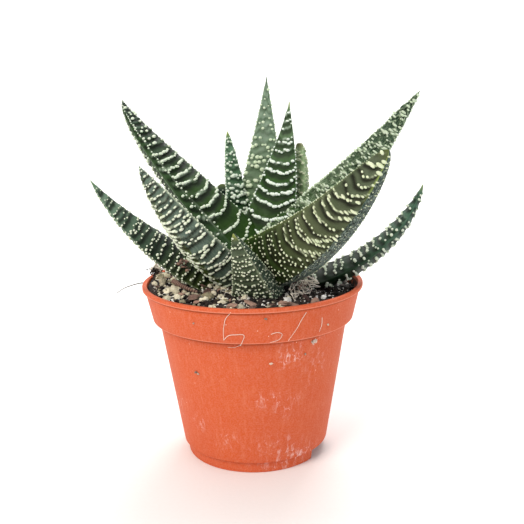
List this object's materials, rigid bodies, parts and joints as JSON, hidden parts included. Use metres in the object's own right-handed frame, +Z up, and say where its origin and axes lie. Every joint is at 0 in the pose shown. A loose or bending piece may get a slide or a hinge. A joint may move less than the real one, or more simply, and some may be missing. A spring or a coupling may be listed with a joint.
{
  "type": "potted haworthia",
  "caption": "Rosette succulent with pointed, keeled leaves in cream-beaded bands, in gritty soil in a round terracotta-coloured nursery pot.",
  "frame": {"origin": "on the pot's axis, at the level the pot stands on", "axes": "+Z up the pot's axis; -Y toward the viewer of the picture; +X to that viewer's right"},
  "size_m": [0.1249, 0.1077, 0.145],
  "materials": {
    "pot": "moulded polypropylene, satin, dusty",
    "soil": "loose dark peat with pale perlite and brown bark",
    "stem": "living stem and heart bud, satin",
    "leaf_green": "waxy leaf skin, satin, with cream tubercles",
    "leaf_teal": "waxy leaf skin, satin, with fine cream tubercles",
    "leaf_olive": "waxy leaf skin, satin, with yellow-cream tubercles",
    "leaf_grey": "waxy leaf skin, matte, with pale tubercles"
  },
  "bodies": {
    "root": {"pot": "pot", "soil": "soil", "stem": "stem", "leaf_heart_centre": "leaf_green", "leaf_left_tall": "leaf_green", "leaf_heart_left": "leaf_green", "leaf_back_tall": "leaf_grey", "leaf_front_right_broad": "leaf_olive", "leaf_right_long": "leaf_green", "leaf_back_right_blunt": "leaf_olive", "leaf_back_left_blunt": "leaf_grey", "leaf_front_left": "leaf_teal", "leaf_back_right_low": "leaf_teal", "leaf_back_left_low": "leaf_teal", "leaf_back_low": "leaf_teal", "leaf_left_low": "leaf_teal", "leaf_right_low": "leaf_teal", "leaf_front_short": "leaf_grey"}
  },
  "joints": []
}
